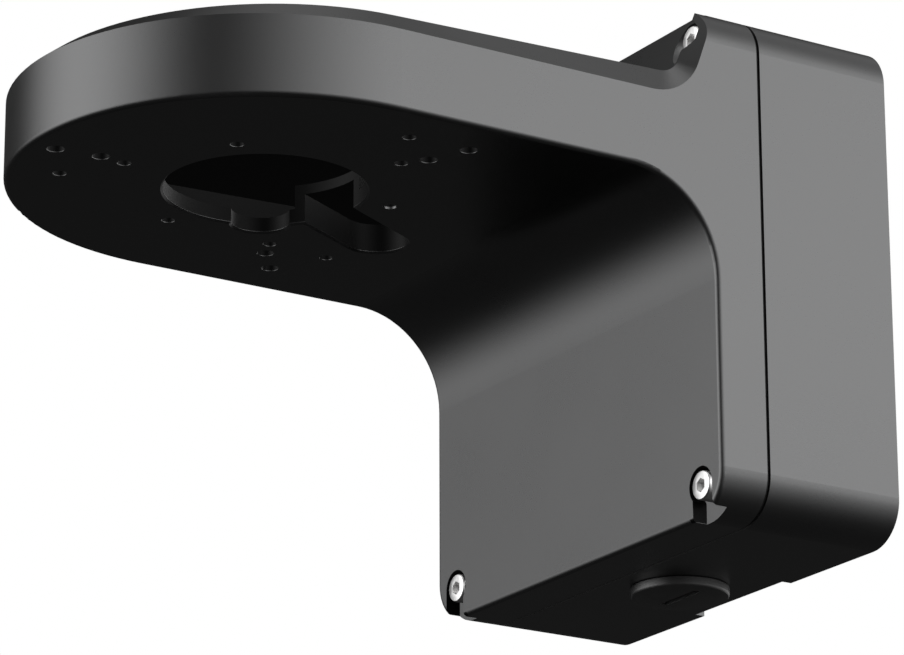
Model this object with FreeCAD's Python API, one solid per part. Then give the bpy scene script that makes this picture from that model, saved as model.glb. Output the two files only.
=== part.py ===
"""Camera wall bracket: a hollow cast arm with a round camera plate, bolted over a gasket to a cast wall box.

Millimetres. The wall is the plane Y = 0 and the arm reaches out along -Y. X is across, +Z is up.
The origin is the middle of the wall box on the wall.
"""
import FreeCAD, Part
import math
import os

from FreeCAD import Vector

# Whole bracket
width = 122.0
box_height = 125.0
corner_radius = 10.5
wall = 4.0
edge_round = 1.2

# Wall box, gasket and the front shell that it carries
wall_box_depth = 37.1
gasket_thickness = 0.8
front_shell_depth = 12.9

# Arm and camera plate
plate_reach = 136.5
underside_above_bottom = 79.65
arm_side_height = 19.55
arm_top_height = 24.45
arm_top_slope = 1.7
arm_top_inset = 4.2
arm_side_wall = 4.5
inner_corner_radius = 23.9

# Upper front of the shell, which leans back towards the wall: its sides, a ridge inside each of them and
# the recess between the ridges
side_lean = 20.0
side_top_depth = 48.8
side_hollow_radius = 14.0
front_lean = 22.0
ridge_top_depth = 51.6
ridge_hollow_radius = 6.0
ridge_width = 0.4
recess_top_depth = 47.8
recess_hollow_radius = 10.0

# Cable hole in the camera plate, with its side notch and its cable trough
rim_chamfer = 0.5
cable_hole_diameter = 48.0
notch_radius = 7.0
notch_distance = 22.4
notch_angle = 153.0
trough_width = 15.2
trough_angle = 27.5
trough_side_offset = 3.7
trough_reach = 44.2
trough_depth = 7.5
trough_wall = 2.5

# Tapped camera holes: rings of holes as (circle radius, first angle, drill diameter)
camera_hole_rings = {
    "inner": (31.0, 78.2, 3.3),
    "second": (36.8, 28.4, 3.3),
    "third": (43.4, 30.0, 4.2),
    "fourth": (48.6, 12.3, 3.3),
    "outer": (54.4, 28.8, 4.2),
}
camera_holes_per_ring = 3

# Screws that hold the front shell to the wall box
screw_side_inset = 8.5
screw_bottom_inset = 8.0
screw_top_inset = 7.0
screw_diameter = 3.9
screw_length = 18.0
screw_head_diameter = 7.0
screw_head_height = 4.0
screw_head_chamfer = 0.35
screw_point_chamfer = 0.6
socket_width = 3.0
socket_depth = 2.0
counterbore_diameter = 9.0
drain_slot_inner = 3.3
pocket_diameter = 13.4
pocket_edge = 1.5
pocket_side_wall = 2.3
clearance_hole_diameter = 4.6
tapped_hole_diameter = 4.0
tapped_hole_depth = 12.0
boss_size = 17.0
boss_round = 6.0

# Rings that keep the screws in the front shell when it is taken off
ring_outer_diameter = 7.2
ring_thickness = 0.8
ring_pocket_diameter = 8.0

# Gasket
gasket_edge_inset = 0.6

# Back wall of the wall box
wall_hole_spacing_x = 80.0
wall_hole_spacing_z = 84.0
wall_hole_diameter = 5.5
wall_pad_diameter = 14.0
wall_pad_height = 2.0
wall_cable_hole_diameter = 38.0
wall_cable_rim_width = 3.0
drain_notch_width = 36.0
drain_notch_depth = 2.6
drain_notch_height = 7.0

# Conduit entry under the wall box, its plug and the plug's ring
entry_from_wall = 20.0
entry_thread_diameter = 20.0
entry_boss_diameter = 30.0
entry_boss_height = 4.0
plug_thread_clearance = 0.05
plug_head_diameter = 24.0
plug_head_height = 2.4
plug_head_chamfer = 0.5
plug_length = 9.0
plug_bore_diameter = 14.0
plug_floor = 2.0
coin_slot_length = 15.0
coin_slot_width = 2.0
coin_slot_depth = 1.3
plug_ring_section = 1.3
plug_ring_side_clearance = 0.05

# How far a cut runs past the face that it opens, and how closely a face or edge is matched to its place
overshoot = 1.0
tolerance = 0.01

# Places that follow from these sizes
half_width = width / 2
box_bottom = -box_height / 2
box_top = box_height / 2
wall_box_front = -wall_box_depth
shell_back = wall_box_front - gasket_thickness
front_face = shell_back - front_shell_depth
plate_centre = -plate_reach
underside = box_bottom + underside_above_bottom
plate_floor = underside + wall
arm_side_top = underside + arm_side_height
arm_top_at_plate = underside + arm_top_height
top_half_width = half_width - arm_top_inset
recess_half_width = top_half_width - ridge_width
rim_reach = trough_reach + trough_width / 2
trough_ceiling = underside + trough_depth
trough_top = trough_ceiling + trough_wall
screw_x = half_width - screw_side_inset
screw_low = box_bottom + screw_bottom_inset
screw_high = box_top - screw_top_inset
screw_seat = front_face + screw_head_height
inner_half_width = half_width - arm_side_wall
back_inner = -wall
box_floor = box_bottom + wall
entry_y = -entry_from_wall
plug_thread_diameter = entry_thread_diameter - 2 * plug_thread_clearance

side_slope = math.tan(math.radians(side_lean))
front_slope = math.tan(math.radians(front_lean))
top_slope = math.tan(math.radians(arm_top_slope))

screw_places = {
    "lower_left": (-screw_x, screw_low),
    "lower_right": (screw_x, screw_low),
    "upper_left": (-screw_x, screw_high),
    "upper_right": (screw_x, screw_high),
}


def box(x0, x1, y0, y1, z0, z1):
    """A block between two corners."""
    return Part.makeBox(x1 - x0, y1 - y0, z1 - z0, Vector(x0, y0, z0))


def upright(x, y, z0, z1, diameter):
    """A round bar along Z."""
    return Part.makeCylinder(diameter / 2, z1 - z0, Vector(x, y, z0), Vector(0, 0, 1))


def outward(x, z, y0, y1, diameter):
    """A round bar along Y."""
    return Part.makeCylinder(diameter / 2, y1 - y0, Vector(x, y0, z), Vector(0, 1, 0))


def rounded_wire(points, radii):
    """A closed wire through the points, with an arc of the given radius at each point that has one."""
    count = len(points)
    starts = []
    ends = []
    middles = []
    for i in range(count):
        here = points[i]
        radius = radii[i]
        if radius == 0:
            starts.append(here)
            ends.append(here)
            middles.append(None)
            continue
        before = (points[i - 1] - here).normalize()
        after = (points[(i + 1) % count] - here).normalize()
        half_angle = before.getAngle(after) / 2
        length = radius / math.tan(half_angle)
        inward = (before + after).normalize()
        starts.append(here + before * length)
        ends.append(here + after * length)
        middles.append(here + inward * (radius / math.sin(half_angle) - radius))
    edges = []
    for i in range(count):
        if middles[i] is not None:
            edges.append(Part.Arc(starts[i], middles[i], ends[i]).toShape())
        edges.append(Part.LineSegment(ends[i], starts[(i + 1) % count]).toShape())
    return Part.Wire(edges)


def front_view_bar(inset, y0, y1):
    """A bar along Y with the box's rounded outline, set in by an inset."""
    x = half_width - inset
    low = box_bottom + inset
    high = box_top - inset
    corners = [Vector(-x, y0, low), Vector(x, y0, low), Vector(x, y0, high), Vector(-x, y0, high)]
    face = Part.Face(rounded_wire(corners, [corner_radius - inset] * 4))
    return face.extrude(Vector(0, y1 - y0, 0))


# Outlines of the front shell from the side: height of the arm's top at the plate and its slope, lean of the
# upper front and its depth at the top, and the radius where the two meet
outlines = {
    "side": (arm_side_top, 0.0, side_slope, side_top_depth, side_hollow_radius),
    "ridge": (arm_top_at_plate, top_slope, front_slope, ridge_top_depth, ridge_hollow_radius),
    "recess": (arm_top_at_plate, top_slope, front_slope, recess_top_depth, recess_hollow_radius),
}


def lean_depth(top_depth, z):
    """Y of a leaning face between the sides at height z."""
    return -top_depth + (z - box_top) * front_slope


def side_profile(x, outline):
    """One of the shell's outlines as a wire in the YZ plane at x."""
    top_z, slope, lean, top_depth, hollow = outlines[outline]
    # where the arm's top meets the leaning face
    corner_y = (-top_depth + (top_z - plate_centre * slope - box_top) * lean) / (1 - slope * lean)
    corner_z = top_z + (corner_y - plate_centre) * slope
    points = [
        Vector(x, plate_centre, underside),
        Vector(x, front_face, underside),
        Vector(x, front_face, box_bottom),
        Vector(x, shell_back, box_bottom),
        Vector(x, shell_back, box_top),
        Vector(x, -top_depth, box_top),
        Vector(x, corner_y, corner_z),
        Vector(x, plate_centre, top_z),
    ]
    radii = [0, inner_corner_radius, 0, 0, 0, 0, hollow, 0]
    return rounded_wire(points, radii)


def shell_outside():
    """The front shell as a solid, before it is made hollow."""
    between = Part.Face(side_profile(-recess_half_width, "recess"))
    solid = between.extrude(Vector(2 * recess_half_width, 0, 0))
    for side in (-1, 1):
        ridge = Part.Face(side_profile(side * recess_half_width, "ridge"))
        solid = solid.fuse(ridge.extrude(Vector(side * ridge_width, 0, 0)))
        inner = side_profile(side * top_half_width, "ridge")
        outer = side_profile(side * half_width, "side")
        solid = solid.fuse(Part.makeLoft([inner, outer], True, True))
    solid = solid.common(front_view_bar(0, plate_centre, shell_back))
    centre = Vector(0, plate_centre, underside)
    disc = Part.makeCylinder(half_width, arm_side_height, centre)
    lower_ring = Part.makeCircle(half_width, Vector(0, plate_centre, arm_side_top))
    tilt = Vector(0, -top_slope, 1).normalize()
    upper_ring = Part.makeCircle(top_half_width, Vector(0, plate_centre, arm_top_at_plate), tilt)
    crown = Part.makeLoft([Part.Wire(lower_ring), Part.Wire(upper_ring)], True, True)
    disc = disc.fuse(crown)
    half = box(-width, width, plate_centre - width, plate_centre, underside - overshoot, box_top)
    return solid.fuse(disc.common(half)).removeSplitter()


def shell_inside():
    """The hollow of the front shell, open towards the wall box."""
    roof = arm_top_at_plate - wall
    front_inner = front_face + wall
    top_inner = box_top - wall
    lean_inner = recess_top_depth - wall / math.cos(math.radians(front_lean))
    corner_y = -lean_inner + (roof - plate_centre * top_slope - box_top) * front_slope
    corner_y = corner_y / (1 - top_slope * front_slope)
    corner_z = roof + (corner_y - plate_centre) * top_slope
    tip = plate_centre - inner_half_width
    mouth = shell_back + overshoot
    x = -inner_half_width
    points = [
        Vector(x, tip, plate_floor),
        Vector(x, front_inner, plate_floor),
        Vector(x, front_inner, box_floor),
        Vector(x, mouth, box_floor),
        Vector(x, mouth, top_inner),
        Vector(x, lean_depth(lean_inner, top_inner), top_inner),
        Vector(x, corner_y, corner_z),
        Vector(x, tip, roof - inner_half_width * top_slope),
    ]
    radii = [0, inner_corner_radius + wall, 0, 0, 0, 0, recess_hollow_radius - wall, 0]
    hollow = Part.Face(rounded_wire(points, radii)).extrude(Vector(2 * inner_half_width, 0, 0))
    plan = upright(0, plate_centre, underside, box_top, 2 * inner_half_width)
    plan = plan.fuse(box(x, -x, plate_centre, mouth + overshoot, box_bottom, box_top))
    return hollow.common(plan)


def corner_bosses(y0, y1):
    """The solid corners that the housing screws run through."""
    bosses = []
    for x, z in screw_places.values():
        out_x = math.copysign(half_width, x)
        in_x = out_x - math.copysign(boss_size, x)
        out_z = math.copysign(box_top, z)
        in_z = out_z - math.copysign(boss_size, z)
        points = [Vector(in_x, y0, in_z), Vector(out_x, y0, in_z), Vector(out_x, y0, out_z), Vector(in_x, y0, out_z)]
        face = Part.Face(rounded_wire(points, [boss_round, 0, 0, 0]))
        bosses.append(face.extrude(Vector(0, y1 - y0, 0)))
    return bosses


def camera_holes():
    """Centre and diameter of each tapped hole in the camera plate."""
    holes = []
    for radius, first_angle, diameter in camera_hole_rings.values():
        for i in range(camera_holes_per_ring):
            angle = math.radians(first_angle + i * 360.0 / camera_holes_per_ring)
            x = radius * math.cos(angle)
            y = plate_centre + radius * math.sin(angle)
            holes.append((x, y, diameter))
    return holes


def trough_bar(radius, z0, z1):
    """A round-ended bar along the cable trough."""
    turn = math.radians(trough_angle)
    along = Vector(-math.sin(turn), math.cos(turn), 0)
    across = Vector(math.cos(turn), math.sin(turn), 0)
    origin = Vector(0, plate_centre, z0) + across * trough_side_offset
    far = origin + along * trough_reach
    corners = [origin + across * radius, far + across * radius, far - across * radius, origin - across * radius]
    bar = Part.Face(Part.makePolygon(corners + corners[:1])).extrude(Vector(0, 0, z1 - z0))
    return bar.fuse(Part.makeCylinder(radius, z1 - z0, far))


def round_outer_edges(solid):
    """Softens the plate's lower rim, the underside's long edges and the edges round the front face."""
    chosen = []
    for edge in solid.Edges:
        bounds = edge.BoundBox
        flat = bounds.ZLength < tolerance and bounds.YLength > tolerance
        on_rim = flat and abs(bounds.ZMin - underside) < tolerance
        at_side = abs(abs(edge.CenterOfMass.x) - half_width) < tolerance and bounds.XLength < tolerance
        below = bounds.ZMax < underside + tolerance and bounds.YMax < front_face + tolerance
        low_middle = bounds.ZMax < underside - inner_corner_radius - tolerance
        round_front = low_middle and bounds.YLength < tolerance and bounds.YMax < front_face + tolerance
        if on_rim or (at_side and below) or round_front:
            chosen.append(edge)
    return solid.makeFillet(edge_round, chosen)


def chamfer_opening_rims(shell):
    """Breaks the lower rims of the cable hole, its side notch and the cable trough."""
    chosen = []
    for edge in shell.Edges:
        bounds = edge.BoundBox
        flat = bounds.ZLength < tolerance and abs(bounds.ZMin - underside) < tolerance
        reach = math.hypot(edge.CenterOfMass.x, edge.CenterOfMass.y - plate_centre)
        if flat and reach < rim_reach:
            chosen.append(edge)
    return shell.makeChamfer(rim_chamfer, chosen)


def head_clearance(x, z):
    """The space cut for a screw's head: a slot that drains downwards, or a pocket in the recess above."""
    if z < underside:
        start = front_face - overshoot
        outer_side = math.copysign(counterbore_diameter / 2, x)
        inner_side = -math.copysign(drain_slot_inner, x)
        low, high = sorted([x + inner_side, x + outer_side])
        slot = box(low, high, start, screw_seat, box_bottom - overshoot, z)
        return outward(x, z, start, screw_seat, counterbore_diameter).fuse(slot)
    start = lean_depth(ridge_top_depth, z - pocket_diameter / 2) - overshoot
    reach = half_width - pocket_side_wall
    between = box(-reach, reach, start, screw_seat, underside, box_top)
    pocket = outward(x, z, start, screw_seat, pocket_diameter).common(between)
    return pocket.common(front_view_bar(pocket_edge, start, screw_seat))


def arm_housing():
    """The front shell: camera plate, arm and the front of the box in one casting."""
    below = underside - overshoot
    behind = shell_back + overshoot
    hollow = shell_inside()
    for boss in corner_bosses(front_face, behind + overshoot):
        hollow = hollow.cut(boss)
    shell = round_outer_edges(shell_outside()).cut(hollow)
    shell = shell.fuse(trough_bar(trough_width / 2 + trough_wall, plate_floor - overshoot, trough_top))
    shell = shell.cut(trough_bar(trough_width / 2, below, trough_ceiling))
    shell = shell.cut(upright(0, plate_centre, below, trough_top + overshoot, cable_hole_diameter))
    turn = math.radians(notch_angle)
    notch_x = notch_distance * math.cos(turn)
    notch_y = plate_centre + notch_distance * math.sin(turn)
    shell = shell.cut(upright(notch_x, notch_y, below, plate_floor + overshoot, 2 * notch_radius))
    shell = chamfer_opening_rims(shell)
    for x, y, diameter in camera_holes():
        shell = shell.cut(upright(x, y, below, plate_floor + overshoot, diameter))
    for x, z in screw_places.values():
        shell = shell.cut(head_clearance(x, z))
        shell = shell.cut(outward(x, z, front_face, behind, clearance_hole_diameter))
        shell = shell.cut(outward(x, z, shell_back - ring_thickness, behind, ring_pocket_diameter))
    return shell.removeSplitter()


def wall_box():
    """The rear casting that is screwed to the wall."""
    shell = front_view_bar(0, wall_box_front, 0)
    hollow = front_view_bar(wall, wall_box_front - overshoot, back_inner)
    for boss in corner_bosses(wall_box_front - overshoot, 0):
        hollow = hollow.cut(boss)
    shell = shell.cut(hollow)
    pad_top = back_inner - wall_pad_height
    rim_diameter = wall_cable_hole_diameter + 2 * wall_cable_rim_width
    rounds = [(0, 0, rim_diameter, wall_cable_hole_diameter)]
    for side_x in (-1, 1):
        for side_z in (-1, 1):
            x = side_x * wall_hole_spacing_x / 2
            z = side_z * wall_hole_spacing_z / 2
            rounds.append((x, z, wall_pad_diameter, wall_hole_diameter))
    for x, z, pad_diameter, hole_diameter in rounds:
        shell = shell.fuse(outward(x, z, pad_top, back_inner + overshoot, pad_diameter))
        shell = shell.cut(outward(x, z, pad_top - overshoot, overshoot, hole_diameter))
    boss_top = box_floor + entry_boss_height
    shell = shell.fuse(upright(0, entry_y, box_floor - overshoot, boss_top, entry_boss_diameter))
    shell = shell.cut(upright(0, entry_y, box_bottom - overshoot, boss_top + overshoot, entry_thread_diameter))
    half_notch = drain_notch_width / 2
    notch_top = box_bottom + drain_notch_height
    notch = box(-half_notch, half_notch, -drain_notch_depth, overshoot, box_bottom - overshoot, notch_top)
    shell = shell.cut(notch)
    drill_end = wall_box_front + tapped_hole_depth
    for x, z in screw_places.values():
        shell = shell.cut(outward(x, z, wall_box_front - overshoot, drill_end, tapped_hole_diameter))
    return shell.removeSplitter()


def housing_gasket():
    """The flat rubber frame between the two castings."""
    before = shell_back - overshoot
    after = wall_box_front + overshoot
    opening = front_view_bar(wall, before, after)
    for boss in corner_bosses(before, after):
        opening = opening.cut(boss)
    gasket = front_view_bar(gasket_edge_inset, shell_back, wall_box_front).cut(opening)
    for x, z in screw_places.values():
        gasket = gasket.cut(outward(x, z, before, after, clearance_hole_diameter))
    return gasket


def housing_screw(x, z):
    """A socket head screw with its head towards the front."""
    head = outward(x, z, front_face, screw_seat, screw_head_diameter)
    front_edges = [edge for edge in head.Edges if edge.BoundBox.YMax < front_face + tolerance]
    head = head.makeChamfer(screw_head_chamfer, front_edges)
    point = screw_seat + screw_length
    shank = outward(x, z, screw_seat, point, screw_diameter)
    end_edges = [edge for edge in shank.Edges if edge.BoundBox.YMin > point - tolerance]
    shank = shank.makeChamfer(screw_point_chamfer, end_edges)
    socket_start = front_face - overshoot
    corner_distance = socket_width / math.sqrt(3)
    corners = []
    for i in range(7):
        angle = math.radians(30 + 60 * i)
        across = corner_distance * math.cos(angle)
        up = corner_distance * math.sin(angle)
        corners.append(Vector(x + across, socket_start, z + up))
    socket = Part.Face(Part.makePolygon(corners)).extrude(Vector(0, socket_depth + overshoot, 0))
    return head.fuse(shank).cut(socket).removeSplitter()


def screw_ring(x, z):
    """The plastic ring on a screw's shank that keeps it in the front shell."""
    front = shell_back - ring_thickness
    ring = outward(x, z, front, shell_back, ring_outer_diameter)
    return ring.cut(outward(x, z, front - overshoot, shell_back + overshoot, screw_diameter))


def conduit_plug():
    """The coin-slotted plug that closes the conduit entry."""
    head_bottom = box_bottom - plug_head_height
    head = upright(0, entry_y, head_bottom, box_bottom, plug_head_diameter)
    lower_edges = [edge for edge in head.Edges if edge.BoundBox.ZMax < head_bottom + tolerance]
    head = head.makeChamfer(plug_head_chamfer, lower_edges)
    plug_top = box_bottom + plug_length
    plug = head.fuse(upright(0, entry_y, box_bottom, plug_top, plug_thread_diameter))
    plug = plug.cut(upright(0, entry_y, box_bottom + plug_floor, plug_top + overshoot, plug_bore_diameter))
    groove_diameter = plug_thread_diameter + 2 * plug_ring_section + 4 * plug_ring_side_clearance
    groove = upright(0, entry_y, box_bottom - plug_ring_section, box_bottom, groove_diameter)
    plug = plug.cut(groove.cut(upright(0, entry_y, head_bottom, box_bottom, plug_thread_diameter)))
    half_length = coin_slot_length / 2
    half_slot = coin_slot_width / 2
    slot_top = head_bottom + coin_slot_depth
    slot = box(-half_length, half_length, entry_y - half_slot, entry_y + half_slot, head_bottom - overshoot, slot_top)
    return plug.cut(slot).removeSplitter()


def plug_ring():
    """The rubber ring in the plug's groove."""
    section_radius = plug_ring_section / 2
    middle_radius = plug_thread_diameter / 2 + plug_ring_side_clearance + section_radius
    centre = Vector(0, entry_y, box_bottom - section_radius)
    return Part.makeTorus(middle_radius, section_radius, centre, Vector(0, 0, 1))


def write(name, shape):
    """Writes one piece to its own file."""
    print(name, "valid", shape.isValid(), "solids", len(shape.Solids), "volume", round(shape.Volume, 1))
    shape.exportStep("parts/" + name + ".step")


os.makedirs("parts", exist_ok=True)
write("arm_housing", arm_housing())
write("wall_box", wall_box())
write("housing_gasket", housing_gasket())
for place, (screw_at_x, screw_at_z) in screw_places.items():
    write("screw_" + place, housing_screw(screw_at_x, screw_at_z))
    write("screw_ring_" + place, screw_ring(screw_at_x, screw_at_z))
write("conduit_plug", conduit_plug())
write("plug_ring", plug_ring())
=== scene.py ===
# %% [markdown]
# # A camera wall bracket
# The real bracket is two die cast aluminium shells under a satin charcoal powder coat. The rear shell is
# screwed to a wall, and the front shell, with its hollow arm and its drilled round plate, closes it over
# a rubber gasket. The CAD model already holds both shells at their full size, so this lesson loads it as
# a fixed frame, gives every shell its finish, and models again the small turned and moulded parts that
# need more detail than a CAD solid has.

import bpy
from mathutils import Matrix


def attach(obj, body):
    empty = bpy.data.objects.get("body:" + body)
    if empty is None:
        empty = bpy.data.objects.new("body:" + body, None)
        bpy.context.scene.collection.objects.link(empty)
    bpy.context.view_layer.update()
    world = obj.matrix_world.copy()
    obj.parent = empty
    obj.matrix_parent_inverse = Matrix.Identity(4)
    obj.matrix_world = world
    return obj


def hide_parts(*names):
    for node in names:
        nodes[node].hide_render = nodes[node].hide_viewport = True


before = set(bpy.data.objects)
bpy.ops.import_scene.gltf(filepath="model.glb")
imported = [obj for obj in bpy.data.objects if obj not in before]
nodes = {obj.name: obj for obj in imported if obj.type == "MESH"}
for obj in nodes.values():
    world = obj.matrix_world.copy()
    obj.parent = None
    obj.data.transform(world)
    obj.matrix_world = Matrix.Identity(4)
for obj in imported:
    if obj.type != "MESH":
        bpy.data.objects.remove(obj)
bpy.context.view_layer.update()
print("CAD nodes", sorted(nodes))

# %% Other modules and the unit
import math

import bpy
from mathutils import Matrix, Vector

MM = 0.001
PLATE_Z = 17.15 * MM
PLATE_CENTRE_Y = -136.5 * MM

# %% [markdown]
# ## Camera
# The photograph looks up at the bracket from its front right, with a long lens. A camera could be aimed
# by a constraint, but here its three axes are worked out from an azimuth, an elevation and a slight roll,
# because those numbers say plainly where the photographer stood.

# %% Camera
camera_data = bpy.data.cameras.new("camera")
camera_data.lens = 176.162
camera_data.sensor_width = 36.0
camera = bpy.data.objects.new("camera", camera_data)
bpy.context.scene.collection.objects.link(camera)
bpy.context.scene.camera = camera

camera_place = (0.84426, -0.61803, -0.34378)
azimuth = math.radians(57.7277)
elevation = math.radians(-18.6171)
roll = math.radians(-0.1854)
back = Vector((math.sin(azimuth) * math.cos(elevation), -math.cos(azimuth) * math.cos(elevation),
               math.sin(elevation)))
level_right = Vector((math.cos(azimuth), math.sin(azimuth), 0))
level_up = back.cross(level_right)
right = level_right * math.cos(roll) + level_up * math.sin(roll)
up = level_up * math.cos(roll) - level_right * math.sin(roll)
turn = Matrix((right, up, back)).transposed().to_4x4()
camera.matrix_world = Matrix.Translation(camera_place) @ turn
print("camera looks along", [round(-v, 3) for v in back])

# %% [markdown]
# ## Shader arithmetic
# A finish is a sum of simple patterns. Written as nodes and links, even a short sum is hard to read, so
# one small class wraps a socket and lets Python's own operators add the Math nodes. Every other node
# comes from one method, which sets a node's choices first and then fills its sockets.

# %% A socket that can be used in arithmetic
class Signal:
    """One output socket of a node tree, usable with + - * and with plain numbers."""

    def __init__(self, shop, socket):
        self.shop = shop
        self.socket = socket

    def math(self, operation, *others, first=None):
        inputs = dict(enumerate([self, *others] if first is None else [first, self]))
        return self.shop.node("ShaderNodeMath", {"operation": operation}, inputs)

    def __add__(self, other):
        return self.math("ADD", other)

    def __radd__(self, other):
        return self.math("ADD", other)

    def __sub__(self, other):
        return self.math("SUBTRACT", other)

    def __rsub__(self, other):
        return self.math("SUBTRACT", first=other)

    def __mul__(self, other):
        return self.math("MULTIPLY", other)

    def __rmul__(self, other):
        return self.math("MULTIPLY", other)

    def __abs__(self):
        return self.math("ABSOLUTE")


# %% The workshop that adds nodes
class Workshop:
    """Adds nodes to the tree of one material or of the world."""

    def __init__(self, tree):
        self.tree = tree
        tree.nodes.clear()

    def node(self, kind, settings, inputs, output=0):
        made = self.tree.nodes.new(kind)
        for name, value in settings.items():
            setattr(made, name, value)
        for name, value in inputs.items():
            if isinstance(value, Signal):
                self.tree.links.new(value.socket, made.inputs[name])
            else:
                made.inputs[name].default_value = value
        return Signal(self, made.outputs[output] if made.outputs else None)

    def split(self, vector):
        """The X, Y and Z of a vector."""
        x = self.node("ShaderNodeSeparateXYZ", {}, {"Vector": vector})
        return [Signal(self, socket) for socket in x.socket.node.outputs]

    def place(self):
        """The point's place on the object, in metres."""
        return self.node("ShaderNodeTexCoord", {}, {}, "Object")

    def noise(self, size, detail=2.0, roughness=0.5):
        """A cloudy pattern from 0 to 1, whose patches are about so many metres across."""
        inputs = {"Vector": self.place(), "Scale": 1 / size, "Detail": detail, "Roughness": roughness}
        return self.node("ShaderNodeTexNoise", {}, inputs)

    def step(self, value, low, high, to_low=0.0, to_high=1.0):
        """Goes smoothly from to_low to to_high while the value goes from low to high."""
        settings = {"interpolation_type": "SMOOTHSTEP"}
        inputs = {"Value": value, "From Min": low, "From Max": high, "To Min": to_low, "To Max": to_high}
        return self.node("ShaderNodeMapRange", settings, inputs)

    def blend(self, factor, first, second):
        """A colour between two colours."""
        return self.node("ShaderNodeMix", {"data_type": "RGBA"}, {0: factor, 6: first, 7: second}, 2)


def grey(level, warmth=0.0):
    """A grey as a colour, a little warmer or cooler."""
    return (level * (1 + warmth), level, level * (1 - warmth), 1)


def new_material(name):
    """A material with its workshop."""
    material = bpy.data.materials.new(name)
    material.use_nodes = True
    return material, Workshop(material.node_tree)


def finish_material(shop, settings):
    """Adds the surface with its values and links."""
    surface = shop.node("ShaderNodeBsdfPrincipled", {}, settings)
    shop.node("ShaderNodeOutputMaterial", {}, {"Surface": surface})


def bump(shop, height, depth):
    """Small relief: the pattern's 0 to 1 stands for this depth in metres."""
    return shop.node("ShaderNodeBump", {}, {"Strength": 1.0, "Distance": depth, "Height": height})


print("workshop ready")

# %% [markdown]
# ## Studio light
# The bracket's satin coat shows its surroundings as soft bands: one broad light panel stands at the front
# left, another at the right, a soft light hangs high above, and the rest of the room is nearly dark. Lamps
# could do this, but near lamps leave uneven spots on flat faces, and the photograph's flat faces are even.
# So the world itself carries the panels, each a smooth hill of light round a direction, and the camera sees
# plain white behind the object. The right panel is brightest at one height all along, so a round edge
# catches a narrow gleam.

# %% World
world = bpy.data.worlds.new("studio")
bpy.context.scene.world = world
world.use_nodes = True
studio = Workshop(world.node_tree)
direction = studio.node("ShaderNodeTexCoord", {}, {}, "Generated")
along_x, along_y, along_z = studio.split(direction)
heading = along_y.math("ARCTAN2", along_x)
height = along_z.math("ARCSINE")


def heading_from(degrees):
    """How far the direction's heading is from the given one, from -180 to 180 degrees, in radians."""
    return (heading - math.radians(degrees)).math("WRAP", math.pi, -math.pi)


def hill(value, rise_start, rise_end, fall_start, fall_end):
    """Goes from 0 up to 1 and down to 0 again between four angles in degrees."""
    rise = studio.step(value, math.radians(rise_start), math.radians(rise_end))
    return rise * studio.step(value, math.radians(fall_start), math.radians(fall_end), 1.0, 0.0)


RIGHT_LIGHT = 2.75
RIGHT_HEADING = 45
RIGHT_SPREAD = (-103, -12, 50, 95)
RIGHT_HEIGHT = math.radians(19)
RIGHT_FADE = math.radians(19)
FRONT_LIGHT = 2.15
FRONT_HEADING = -117
FRONT_SPREAD = (-48, -5, 2, 64)
FRONT_HEIGHTS = (-36, 8, 30, 60)
DARK_ROOM = 0.03
gleam = (abs(height - RIGHT_HEIGHT) * (-1 / RIGHT_FADE)).math("EXPONENT")
above_ground = studio.step(height, math.radians(-55), math.radians(-15))
right_panel = hill(heading_from(RIGHT_HEADING), *RIGHT_SPREAD) * gleam * above_ground
front_panel = hill(heading_from(FRONT_HEADING), *FRONT_SPREAD) * hill(height, *FRONT_HEIGHTS)
ceiling = studio.step(height, math.radians(55), math.radians(85))
room_light = right_panel * RIGHT_LIGHT + front_panel * FRONT_LIGHT + ceiling + DARK_ROOM
seen = studio.node("ShaderNodeLightPath", {}, {}, "Is Camera Ray")
through = studio.node("ShaderNodeLightPath", {}, {}, "Is Transmission Ray")
backdrop = seen.math("MAXIMUM", through)
room = studio.node("ShaderNodeBackground", {}, {"Color": grey(1.0), "Strength": room_light})
white = studio.node("ShaderNodeBackground", {}, {"Color": grey(1.0), "Strength": 1.0})
mixed = studio.node("ShaderNodeMixShader", {}, {0: backdrop, 1: room, 2: white})
studio.node("ShaderNodeOutputWorld", {}, {"Surface": mixed})
bpy.context.scene.view_settings.view_transform = "Standard"
print("two light panels, strengths", RIGHT_LIGHT, FRONT_LIGHT)

# %% [markdown]
# ## Floor
# A wall bracket hangs in the air, so the floor is well below it. It is a plain pale disc that turns to
# white far away. It shows from above only, so that a camera under it still sees the bracket.

# %% Floor
FLOOR_Z = -0.5
FLOOR_RADIUS = 8.0
WHITE_FROM = 0.6
WHITE_AT = 2.5
bpy.ops.object.select_all(action="DESELECT")
bpy.ops.mesh.primitive_circle_add(vertices=96, radius=FLOOR_RADIUS, fill_type="NGON",
                                  location=(0, 0, FLOOR_Z))
floor = bpy.context.object
floor.name = "floor"
bpy.ops.object.transform_apply(location=True, rotation=True, scale=True)
floor_paint, shop = new_material("floor_paint")
floor_x, floor_y = shop.split(shop.place())[:2]
distance = (floor_x * floor_x + floor_y * floor_y).math("SQRT")
far_away = shop.step(distance, WHITE_FROM, WHITE_AT)
cloud = shop.noise(0.3)
floor_colour = shop.blend(cloud, grey(0.80), grey(0.83))
matte = shop.node("ShaderNodeBsdfDiffuse", {}, {"Color": floor_colour})
glow = shop.node("ShaderNodeEmission", {}, {"Color": grey(1.0), "Strength": 1.0})
clear = shop.node("ShaderNodeBsdfTransparent", {}, {})
top = shop.node("ShaderNodeMixShader", {}, {0: far_away, 1: matte, 2: glow})
from_below = shop.node("ShaderNodeNewGeometry", {}, {}, "Backfacing")
floor_surface = shop.node("ShaderNodeMixShader", {}, {0: from_below, 1: top, 2: clear})
shop.node("ShaderNodeOutputMaterial", {}, {"Surface": floor_surface})
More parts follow.
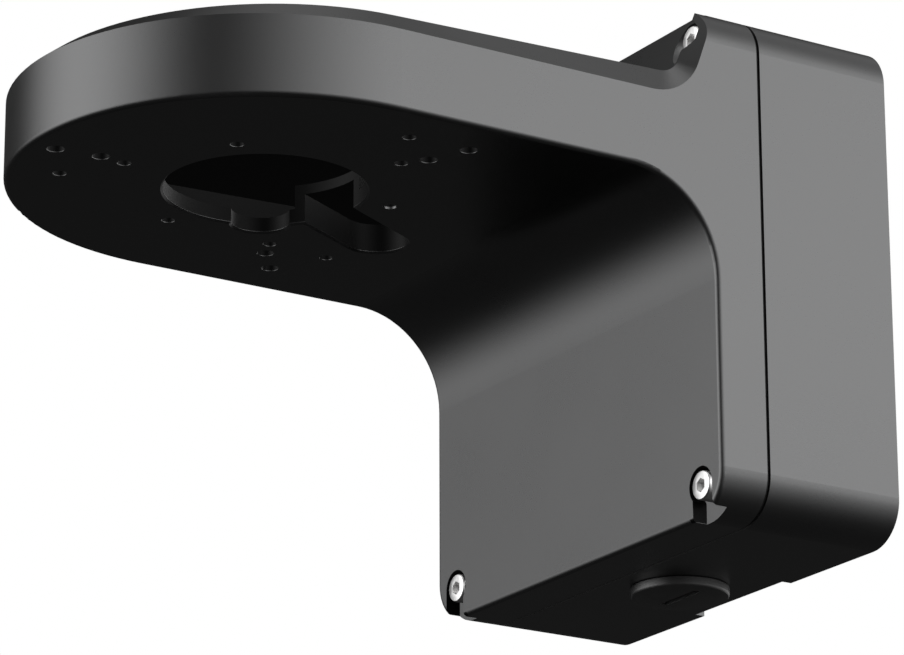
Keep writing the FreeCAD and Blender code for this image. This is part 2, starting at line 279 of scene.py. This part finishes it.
floor.data.materials.append(floor_paint)
floor.visible_diffuse = False
floor.visible_glossy = False
print("floor at", FLOOR_Z)

# %% [markdown]
# ## Charcoal powder coat
# Powder coat melts into a skin with a fine orange peel, and its metal flakes make it shine like a dull
# metal: it mirrors the light panels softly and stays dark elsewhere. A metallic surface of a dark grey
# does that. Three patterns vary it: broad clouds, the peel about a millimetre across, and fine flakes.
# The arm's inside, the drilled holes, the slots under the lower screws and the rims along the gasket are
# painted nearly black and made duller, as painted shade in these hollows and gaps, and masks find them by
# place. Each mask is a product of soft edges: step rises from 0 to 1 along a value, and below falls from
# 1 to 0. An edge is a pair of places, where it starts and where it ends.

# %% Masks of the painted shade on the powder coat
SCREW_X = 52.5 * MM
ARM_INNER_FACE = (56.7 * MM, 57.0 * MM)
PLATE_BOTTOM = (0.05 * MM, 0.15 * MM)
ROOF = (39.0 * MM, 40.0 * MM)
ROOF_SLOPE = 0.03
BOX_START = (-52.0 * MM, -48.0 * MM)
HOLE_ZONE = (29.0 * MM, 29.3 * MM)
RIM_HEIGHT = 0.45 * MM
TROUGH_ANGLE = math.radians(27.5)
TROUGH_MIDDLE = 3.7 * MM
TROUGH_SIDE = (8.1 * MM, 8.3 * MM)
TROUGH_START = (-130 * MM, -129 * MM)
SLOT_FRONT = (-50.78 * MM, -50.7 * MM)
SLOT_BACK = (-46.85 * MM, -46.82 * MM)
SLOT_INNER_SIDE = (-4.65 * MM, -4.6 * MM)
SLOT_OUTER_SIDE = (4.55 * MM, 4.6 * MM)
SLOT_TOP = (-49.6 * MM, -49.5 * MM)
SLOT_BOTTOM = (-62.48 * MM, -62.4 * MM)
GASKET_Y = -37.5 * MM
GASKET_FACE = (0.42 * MM, 0.45 * MM)


def below(shop, value, start, end):
    """1 where the value is under start, and 0 over end."""
    return shop.step(value, start, end, 1.0, 0.0)


def inside_arm(shop, x, y, z):
    """1 on the arm's inner faces and on the walls of the openings in its plate, where shade is painted, and 0
    on all outer faces.

    The arm's wall is a half circle in front of the plate's middle and straight behind it, so reach is a
    radius in front and the distance from the middle plane behind. In the zone of the cable hole and the
    trough the lowest half millimetre keeps the plain coat without painted shade, because there the rims
    are broken. Behind the plate's middle that zone is a strip, so small holes in it keep an unshaded rim too.
    """
    from_centre = y - PLATE_CENTRE_Y
    past_centre = from_centre.math("MINIMUM", 0.0)
    reach = (x * x + past_centre * past_centre).math("SQRT")
    between = below(shop, reach, *ARM_INNER_FACE)
    aside = x * math.cos(TROUGH_ANGLE) + from_centre * math.sin(TROUGH_ANGLE)
    by_trough = below(shop, abs(aside - TROUGH_MIDDLE), *TROUGH_SIDE) * shop.step(y, *TROUGH_START)
    by_rims = below(shop, reach, *HOLE_ZONE).math("MAXIMUM", by_trough)
    above_plate = shop.step(z - PLATE_Z - by_rims * RIM_HEIGHT, *PLATE_BOTTOM)
    under_roof = below(shop, z - from_centre * ROOF_SLOPE, *ROOF)
    before_box = below(shop, y, *BOX_START)
    return between * above_plate * under_roof * before_box


def screw_slots(shop, x, y, z):
    """1 in the slots under the two lower screws, where shade is painted, and 0 elsewhere."""
    behind_front = shop.step(y, *SLOT_FRONT) * below(shop, y, *SLOT_BACK)
    from_axis = abs(x) - SCREW_X
    across = shop.step(from_axis, *SLOT_INNER_SIDE) * below(shop, from_axis, *SLOT_OUTER_SIDE)
    upright = below(shop, z, *SLOT_TOP) * shop.step(z, *SLOT_BOTTOM)
    return behind_front * across * upright


def parting_rims(shop, y):
    """1 on the two rims that face the gasket, where shade is painted, and 0 elsewhere."""
    return below(shop, abs(y - GASKET_Y), *GASKET_FACE)


print("masks ready")

# %% Charcoal powder coat
PEEL_DEPTH = 0.012 * MM


def make_body_paint():
    material, shop = new_material("body_paint")
    clouds = shop.noise(30 * MM, 3.0)
    peel = shop.noise(1.1 * MM, 2.0)
    flakes = shop.noise(0.28 * MM, 1.0)
    tone = clouds * 0.6 + flakes * 0.4
    coated = shop.blend(tone, grey(0.108, -0.005), grey(0.132, -0.005))
    x, y, z = shop.split(shop.place())
    # painted shade: the arm's inside, the drilled holes, the screw slots and the gasket rims, found by place
    painted_shade = inside_arm(shop, x, y, z).math("MAXIMUM", screw_slots(shop, x, y, z))
    painted_shade = painted_shade.math("MAXIMUM", parting_rims(shop, y))
    # the near black grey(0.006) is painted shade over these hollows and gaps, and their roughness also rises
    colour = shop.blend(painted_shade, coated, grey(0.006))
    roughness = 0.30 + (clouds - 0.5) * 0.06 + (flakes - 0.5) * 0.10 + painted_shade * 0.25
    relief = bump(shop, peel * 0.75 + flakes * 0.25, PEEL_DEPTH)
    finish_material(shop, {"Base Color": colour, "Metallic": 0.9, "Roughness": roughness, "Normal": relief})
    return material


body_paint = make_body_paint()
print("made", body_paint.name)

# %% [markdown]
# ## Rubber, nylon and moulded plastic
# The gasket and the plug's ring are matte black rubber. The rings that keep the screws from falling out
# are natural nylon, which looks pale and waxy. The conduit plug is moulded in
# charcoal plastic, with the faint even grain of its mould.

# %% Rubber, nylon and moulded plastic
def make_rubber():
    material, shop = new_material("gasket_rubber")
    grain = shop.noise(0.4 * MM, 3.0)
    colour = shop.blend(grain, grey(0.014), grey(0.026))
    roughness = 0.72 + grain * 0.15
    relief = bump(shop, grain, 0.02 * MM)
    finish_material(shop, {"Base Color": colour, "Roughness": roughness, "Normal": relief})
    return material


def make_nylon():
    material, shop = new_material("ring_plastic")
    wax = shop.noise(2.0 * MM, 2.0)
    colour = shop.blend(wax, grey(0.68, 0.04), grey(0.78, 0.03))
    roughness = 0.42 + wax * 0.12
    relief = bump(shop, wax, 0.01 * MM)
    finish_material(shop, {"Base Color": colour, "Roughness": roughness, "Normal": relief})
    return material


def make_plug_plastic():
    material, shop = new_material("plug_plastic")
    clouds = shop.noise(8 * MM, 2.0)
    grain = shop.noise(0.35 * MM, 2.0)
    colour = shop.blend(clouds * 0.5 + grain * 0.5, grey(0.10), grey(0.13))
    roughness = 0.36 + grain * 0.10
    relief = bump(shop, grain, 0.012 * MM)
    finish_material(shop, {"Base Color": colour, "Metallic": 0.7, "Roughness": roughness, "Normal": relief})
    return material


gasket_rubber = make_rubber()
ring_plastic = make_nylon()
plug_plastic = make_plug_plastic()
print("made", gasket_rubber.name, ring_plastic.name, plug_plastic.name)

# %% [markdown]
# ## Bright stainless steel
# A screw's head is turned, so its face has fine rings round its axis. All four screws share one finish:
# their axes lie at the same distance left and right of the middle, and above and below it, so absolute
# values fold the four places onto one and the rings are centred on every head.

# %% Bright stainless steel
SCREW_LOW = -54.5 * MM
SCREW_HIGH = 55.5 * MM
RING_SPACING = 0.22 * MM


def make_steel():
    material, shop = new_material("screw_steel")
    x, y, z = shop.split(shop.place())
    middle = (SCREW_HIGH + SCREW_LOW) / 2
    half_spacing = (SCREW_HIGH - SCREW_LOW) / 2
    aside = abs(x) - SCREW_X
    above = abs(z - middle) - half_spacing
    radius = (aside * aside + above * above).math("SQRT")
    rings = (radius * (2 * math.pi / RING_SPACING)).math("SINE") * 0.5 + 0.5
    scratches = shop.noise(0.3 * MM, 2.0)
    colour = shop.blend(scratches, grey(0.78, 0.004), grey(0.86, 0.004))
    roughness = 0.26 + scratches * 0.12
    relief = bump(shop, rings * 0.6 + scratches * 0.4, 0.003 * MM)
    finish_material(shop, {"Base Color": colour, "Metallic": 1.0, "Roughness": roughness, "Normal": relief})
    return material


screw_steel = make_steel()
print("made", screw_steel.name)

# %% [markdown]
# ## Dress the CAD nodes
# The two shells, the gasket and the rings are already right in shape, so the CAD nodes stay and only
# take their finish. In the photograph the arm throws no mirror image on the front face under it, so
# reflections leave the arm housing out.

# %% Dress the CAD nodes
node_finish = {"arm_housing": body_paint, "wall_box": body_paint, "housing_gasket": gasket_rubber,
               "plug_ring": gasket_rubber}
for name, node in nodes.items():
    if name.startswith("screw_ring"):
        node_finish[name] = ring_plastic
for name, finish in node_finish.items():
    slots = nodes[name].data.materials
    slots.clear()
    slots.append(finish)
nodes["arm_housing"].visible_glossy = False
print("dressed", sorted(node_finish))

# %% [markdown]
# ## Turned parts
# Screws and the plug are round about an axis. A turned part can be spun from a drawn outline, but with a
# round face at hand it is easier to work as on a lathe: the face is extruded along the axis and scaled to
# the next radius, step by step. The helper below does that for an axis along Y or Z.

# %% Work a round bar step by step
def start_round(name, sides, start, axis, radius):
    """Adds a filled circle across the axis and opens it for editing."""
    bpy.ops.object.select_all(action="DESELECT")
    turn_x = math.pi / 2 if axis == "Y" else 0.0
    bpy.ops.mesh.primitive_circle_add(vertices=sides, radius=radius, fill_type="NGON", location=start,
                                      rotation=(turn_x, 0, 0))
    piece = bpy.context.object
    piece.name = name
    piece.data.name = name
    bpy.ops.object.transform_apply(location=True, rotation=True, scale=True)
    bpy.ops.object.mode_set(mode="EDIT")
    bpy.ops.mesh.select_mode(type="FACE")
    bpy.ops.mesh.select_all(action="SELECT")
    return piece


def turn_profile(start, axis, radius, profile):
    """Extrudes the selected round face to each place along the axis and scales it to each radius."""
    unit = Vector((0, 1, 0)) if axis == "Y" else Vector((0, 0, 1))
    here = Vector(start)
    for place, next_radius in profile:
        step = unit * (place - here.dot(unit))
        bpy.ops.mesh.extrude_region_move(TRANSFORM_OT_translate={"value": step})
        here = here + step
        if next_radius != radius:
            scale = next_radius / radius
            bpy.ops.transform.resize(value=(scale, scale, scale), center_override=here)
            radius = next_radius


def close_piece(piece, smooth_angle=30):
    """Merges doubles, turns all faces outwards and smooths the shading of shallow angles."""
    if bpy.context.object.mode != "EDIT":
        bpy.ops.object.select_all(action="DESELECT")
        bpy.context.view_layer.objects.active = piece
        piece.select_set(True)
        bpy.ops.object.mode_set(mode="EDIT")
    bpy.ops.mesh.select_all(action="SELECT")
    bpy.ops.mesh.remove_doubles(threshold=0.001 * MM)
    bpy.ops.mesh.normals_make_consistent(inside=False)
    bpy.ops.object.mode_set(mode="OBJECT")
    bpy.ops.object.shade_smooth_by_angle(angle=math.radians(smooth_angle))


def thread(start, end, pitch, major, minor):
    """The outline of a thread: from start to end along the axis, crests at major and roots at minor."""
    turns = int(abs(end - start) / pitch)
    way = math.copysign(pitch, end - start)
    outline = []
    for i in range(turns):
        base = start + i * way
        outline.append((base + 0.15 * way, major))
        outline.append((base + 0.50 * way, minor))
        outline.append((base + 0.62 * way, minor))
        outline.append((base + 0.97 * way, major))
    return outline


print("lathe ready")

# %% [markdown]
# ## Socket screw
# The four screws have a round head with a rounded front edge, knurled sides and a hexagon socket, and a
# threaded shank with a pointed end. One is modelled at the lower right. The socket is cut with a six sided
# bar, because a Boolean modifier leaves exactly its flat sides and sharp corners.

# %% Socket screw
HEAD_FRONT = -50.8 * MM
HEAD_HEIGHT = 4.0 * MM
SCREW_LENGTH = 22.0 * MM
HEAD_SIDES = 72
HEAD_RADIUS = 3.5 * MM
FACE_RADIUS = 3.12 * MM
KNURL_RADIUS = 3.38 * MM
SHANK_RADIUS = 1.95 * MM
THREAD_START = 9.3 * MM
SOCKET_RADIUS = 3.0 * MM / math.sqrt(3)
SOCKET_DEPTH = 2.0 * MM
SOCKET_CONE = 0.4 * MM


def cut_away(piece, cutter):
    """Cuts one mesh out of another and removes the cutter."""
    bpy.ops.object.select_all(action="DESELECT")
    bpy.context.view_layer.objects.active = piece
    piece.select_set(True)
    cut = piece.modifiers.new("cut", "BOOLEAN")
    cut.operation = "DIFFERENCE"
    cut.solver = "EXACT"
    cut.object = cutter
    bpy.ops.object.modifier_apply(modifier=cut.name)
    bpy.data.objects.remove(cutter)


def model_screw(name):
    """A socket screw at the lower right place."""
    start = (SCREW_X, HEAD_FRONT, SCREW_LOW)
    outline = [(0.06 * MM, 3.28 * MM), (0.22 * MM, 3.41 * MM), (0.45 * MM, 3.47 * MM),
               (0.7 * MM, HEAD_RADIUS), (3.8 * MM, HEAD_RADIUS), (HEAD_HEIGHT, KNURL_RADIUS),
               (HEAD_HEIGHT, SHANK_RADIUS), (THREAD_START, SHANK_RADIUS)]
    outline += thread(THREAD_START, 21.3 * MM, 0.7 * MM, SHANK_RADIUS, 1.6 * MM)
    outline += [(21.4 * MM, SHANK_RADIUS), (SCREW_LENGTH, 1.35 * MM)]
    outline = [(HEAD_FRONT + depth, radius) for depth, radius in outline]
    screw = start_round(name, HEAD_SIDES, start, "Y", FACE_RADIUS)
    turn_profile(start, "Y", FACE_RADIUS, outline)
    close_piece(screw)
    knurl_head(screw)
    bpy.ops.object.select_all(action="DESELECT")
    bpy.ops.mesh.primitive_cylinder_add(vertices=6, radius=SOCKET_RADIUS, depth=2 * SOCKET_DEPTH,
                                        location=start, rotation=(math.pi / 2, 0, 0))
    socket = bpy.context.object
    bpy.ops.object.transform_apply(location=True, rotation=True, scale=True)
    point_socket(socket)
    cut_away(screw, socket)
    return screw


def knurl_head(screw):
    """Presses every second line of the head's side a little inwards."""
    centre = Vector((SCREW_X, 0, SCREW_LOW))
    side_angle = 360 / HEAD_SIDES
    bpy.ops.object.mode_set(mode="EDIT")
    bpy.ops.mesh.select_mode(type="VERT")
    bpy.ops.mesh.select_all(action="DESELECT")
    bpy.ops.object.mode_set(mode="OBJECT")
    for vertex in screw.data.vertices:
        flat = Vector((vertex.co.x - centre.x, vertex.co.z - centre.z))
        on_side = abs(flat.length - HEAD_RADIUS) < 0.01 * MM
        line = round(math.degrees(math.atan2(flat.y, flat.x)) / side_angle)
        vertex.select = on_side and line % 2 == 0
    bpy.ops.object.mode_set(mode="EDIT")
    scale = KNURL_RADIUS / HEAD_RADIUS
    bpy.ops.transform.resize(value=(scale, 1, scale), center_override=centre)
    bpy.ops.object.mode_set(mode="OBJECT")


def point_socket(socket):
    """Gives the socket's inner end the shallow cone that a broach leaves."""
    bpy.ops.object.mode_set(mode="EDIT")
    bpy.ops.mesh.select_mode(type="FACE")
    bpy.ops.mesh.select_all(action="DESELECT")
    bpy.ops.object.mode_set(mode="OBJECT")
    for face in socket.data.polygons:
        face.select = face.normal.y > 0.9
    bpy.ops.object.mode_set(mode="EDIT")
    tip = (SCREW_X, HEAD_FRONT + SOCKET_DEPTH + SOCKET_CONE, SCREW_LOW)
    bpy.ops.mesh.extrude_region_move(TRANSFORM_OT_translate={"value": (0, SOCKET_CONE, 0)})
    bpy.ops.transform.resize(value=(0.25, 0.25, 0.25), center_override=tip)
    bpy.ops.object.mode_set(mode="OBJECT")


first_screw = model_screw("socket_screw_lower_right")
first_screw.data.materials.append(screw_steel)
print("screw faces", len(first_screw.data.polygons))

# %% [markdown]
# ## Four screws
# What repeats is modelled once. Each of the other three is a copy with its own mesh, moved to its place.

# %% Four screws
screw_places = {
    "lower_right": (SCREW_X, SCREW_LOW),
    "lower_left": (-SCREW_X, SCREW_LOW),
    "upper_right": (SCREW_X, SCREW_HIGH),
    "upper_left": (-SCREW_X, SCREW_HIGH),
}
screws = {"lower_right": first_screw}
for place, (x, z) in screw_places.items():
    if place in screws:
        continue
    bpy.ops.object.select_all(action="DESELECT")
    first_screw.select_set(True)
    bpy.context.view_layer.objects.active = first_screw
    bpy.ops.object.duplicate(linked=False)
    copy = bpy.context.object
    copy.name = "socket_screw_" + place
    copy.data.name = copy.name
    bpy.ops.transform.translate(value=(x - SCREW_X, 0, z - SCREW_LOW))
    bpy.ops.object.transform_apply(location=True, rotation=True, scale=True)
    screws[place] = copy
for place, screw in screws.items():
    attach(screw, "root")
    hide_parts("screw_" + place)
print("screws", sorted(s.name for s in screws.values()))

# %% [markdown]
# ## Conduit plug
# The plug under the box closes the conduit entry. Its round head has a softly rounded rim and a slot for a
# coin, and a rubber ring sits in a groove behind it. The threaded stem is a hollow cup. The slot is cut
# with a bar whose edges are rounded, so the slot's inner edges are round as in a moulded part.

# %% Conduit plug
PLUG_Y = -20.0 * MM
HEAD_BOTTOM = -64.9 * MM
BOX_BOTTOM = -62.5 * MM
GROOVE_BOTTOM = -63.8 * MM
GROOVE_RADIUS = 11.35 * MM
PLUG_FACE_RADIUS = 11.45 * MM
STEM_RADIUS = 9.95 * MM
STEM_TOP = -53.5 * MM


def model_plug():
    """The conduit plug with its coin slot."""
    start = (0, PLUG_Y, HEAD_BOTTOM)
    outline = [(-64.84 * MM, 11.68 * MM), (-64.66 * MM, 11.86 * MM), (-64.4 * MM, 11.96 * MM),
               (-64.15 * MM, 12.0 * MM), (-62.7 * MM, 12.0 * MM), (BOX_BOTTOM, 11.85 * MM),
               (BOX_BOTTOM, GROOVE_RADIUS), (GROOVE_BOTTOM, GROOVE_RADIUS), (GROOVE_BOTTOM, STEM_RADIUS),
               (BOX_BOTTOM, STEM_RADIUS)]
    outline += thread(BOX_BOTTOM, -54.2 * MM, 1.5 * MM, STEM_RADIUS, 9.1 * MM)
    outline += [(-54.3 * MM, STEM_RADIUS), (STEM_TOP, 9.3 * MM), (STEM_TOP, 7.3 * MM), (-53.8 * MM, 7.0 * MM),
                (-60.2 * MM, 7.0 * MM), (-60.5 * MM, 6.7 * MM)]
    plug = start_round("coin_slot_plug", 96, start, "Z", PLUG_FACE_RADIUS)
    turn_profile(start, "Z", PLUG_FACE_RADIUS, outline)
    close_piece(plug)
    cut_away(plug, slot_bar())
    close_piece(plug)
    return plug


def slot_bar():
    """The bar that cuts the coin slot, with all its edges rounded."""
    bpy.ops.object.select_all(action="DESELECT")
    middle = HEAD_BOTTOM + 0.15 * MM
    bpy.ops.mesh.primitive_cube_add(size=1.0, location=(0, PLUG_Y, middle),
                                    scale=(15 * MM, 2 * MM, 2.3 * MM))
    bar = bpy.context.object
    bpy.ops.object.transform_apply(location=True, rotation=True, scale=True)
    soften = bar.modifiers.new("soften", "BEVEL")
    soften.width = 0.35 * MM
    soften.segments = 3
    bpy.ops.object.modifier_apply(modifier=soften.name)
    return bar


plug = model_plug()
plug.data.materials.append(plug_plastic)
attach(plug, "root")
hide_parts("conduit_plug")
print("plug faces", len(plug.data.polygons))

# %% [markdown]
# ## Update the scene
# The dressed bracket must be the size of the CAD model; this cell only updates the view layer.

# %% Update the scene
bpy.context.view_layer.update()
